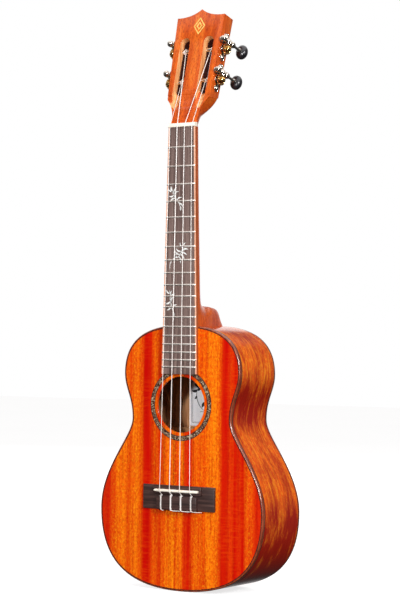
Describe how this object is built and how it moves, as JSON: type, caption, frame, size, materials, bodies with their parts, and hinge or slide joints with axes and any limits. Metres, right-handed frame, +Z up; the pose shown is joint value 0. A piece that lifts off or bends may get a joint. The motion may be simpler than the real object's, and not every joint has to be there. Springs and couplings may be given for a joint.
{
  "type": "ukulele",
  "caption": "Concert ukulele with a hollow figured-wood body, slotted headstock, geared tuners, fretted neck and tie-block bridge.",
  "frame": {"origin": "on the centre line at the nut's playing edge, in the plane where the fretboard is glued to the neck", "axes": "+Z up along the strings towards the headstock, -Y the way the soundboard faces, +X to the right as seen from the front"},
  "size_m": [0.2052, 0.0876, 0.6194],
  "materials": {
    "soundboard": "glossy lacquered ribbon-figured mahogany, orange with red and yellow stripes",
    "body_wood": "glossy lacquered mahogany, orange to dark red-brown",
    "neck_wood": "satin lacquered mahogany",
    "inner_wood": "raw, unfinished",
    "binding": "glossy lacquered rosewood",
    "board_edging": "satin pale maple",
    "fretboard": "oiled rosewood",
    "bridge": "oiled dark rosewood",
    "bone": "polished bone",
    "string": "clear pale nylon",
    "nickel": "polished nickel",
    "gear_brass": "polished brass",
    "button": "glossy black plastic",
    "paper": "matte printed paper",
    "shell": "dark resin with pearl shell chips"
  },
  "bodies": {
    "instrument": {"soundboard": "soundboard", "back_plate": "body_wood", "side_left": "body_wood", "side_right": "body_wood", "front_binding": "binding", "back_binding": "binding", "rosette": "shell", "label": "paper", "heel_block": "inner_wood", "tail_block": "inner_wood", "front_lining_left": "inner_wood", "front_lining_right": "inner_wood", "back_lining_left": "inner_wood", "back_lining_right": "inner_wood", "bridge_plate": "inner_wood", "upper_face_brace": "inner_wood", "lower_face_brace": "inner_wood", "fan_brace_left": "inner_wood", "fan_brace_right": "inner_wood", "back_brace_upper": "inner_wood", "back_brace_middle": "inner_wood", "back_brace_lower": "inner_wood", "back_centre_strip": "inner_wood", "bridge": "bridge", "saddle": "bone", "nut": "bone", "neck": "neck_wood", "neck_heel": "neck_wood", "headstock": "neck_wood", "fretboard": "fretboard", "fretboard_binding": "board_edging", "frets": "nickel", "string_1": "string", "string_2": "string", "string_3": "string", "string_4": "string", "tuner_plate_1": "nickel", "tuner_plate_2": "nickel", "tuner_plate_3": "nickel", "tuner_plate_4": "nickel"},
    "tuner_post_1": {"string_post_1": "nickel", "worm_gear_1": "gear_brass", "gear_screw_1": "nickel"},
    "tuner_knob_1": {"worm_shaft_1": "nickel", "tuner_button_1": "button"},
    "tuner_post_2": {"string_post_2": "nickel", "worm_gear_2": "gear_brass", "gear_screw_2": "nickel"},
    "tuner_knob_2": {"worm_shaft_2": "nickel", "tuner_button_2": "button"},
    "tuner_post_3": {"string_post_3": "nickel", "worm_gear_3": "gear_brass", "gear_screw_3": "nickel"},
    "tuner_knob_3": {"worm_shaft_3": "nickel", "tuner_button_3": "button"},
    "tuner_post_4": {"string_post_4": "nickel", "worm_gear_4": "gear_brass", "gear_screw_4": "nickel"},
    "tuner_knob_4": {"worm_shaft_4": "nickel", "tuner_button_4": "button"}
  },
  "joints": [
    {"name": "knob_turn_1", "type": "hinge", "parent": "instrument", "child": "tuner_knob_1", "pos_m": [-0.03279, 0.02252, 0.05871], "axis": [0, 0.9681, -0.2504], "continuous": true},
    {"name": "post_turn_1", "type": "hinge", "parent": "instrument", "child": "tuner_post_1", "pos_m": [-0.02749, 0.02049, 0.05085], "axis": [-0.9994, -0.009, -0.0348], "continuous": true},
    {"name": "knob_turn_2", "type": "hinge", "parent": "instrument", "child": "tuner_knob_2", "pos_m": [-0.03405, 0.03129, 0.09259], "axis": [0, 0.9681, -0.2504], "continuous": true},
    {"name": "post_turn_2", "type": "hinge", "parent": "instrument", "child": "tuner_post_2", "pos_m": [-0.02875, 0.02925, 0.08474], "axis": [-0.9994, -0.009, -0.0348], "continuous": true},
    {"name": "knob_turn_3", "type": "hinge", "parent": "instrument", "child": "tuner_knob_3", "pos_m": [0.03405, 0.03129, 0.09259], "axis": [0, 0.9681, -0.2504], "continuous": true},
    {"name": "post_turn_3", "type": "hinge", "parent": "instrument", "child": "tuner_post_3", "pos_m": [0.02875, 0.02925, 0.08474], "axis": [0.9994, -0.009, -0.0348], "continuous": true},
    {"name": "knob_turn_4", "type": "hinge", "parent": "instrument", "child": "tuner_knob_4", "pos_m": [0.03279, 0.02252, 0.05871], "axis": [0, 0.9681, -0.2504], "continuous": true},
    {"name": "post_turn_4", "type": "hinge", "parent": "instrument", "child": "tuner_post_4", "pos_m": [0.02749, 0.02049, 0.05085], "axis": [0.9994, -0.009, -0.0348], "continuous": true}
  ],
  "couplings": [
    {"joint": "post_turn_1", "follows": "knob_turn_1", "ratio": -0.071429},
    {"joint": "post_turn_2", "follows": "knob_turn_2", "ratio": -0.071429},
    {"joint": "post_turn_3", "follows": "knob_turn_3", "ratio": -0.071429},
    {"joint": "post_turn_4", "follows": "knob_turn_4", "ratio": -0.071429}
  ]
}
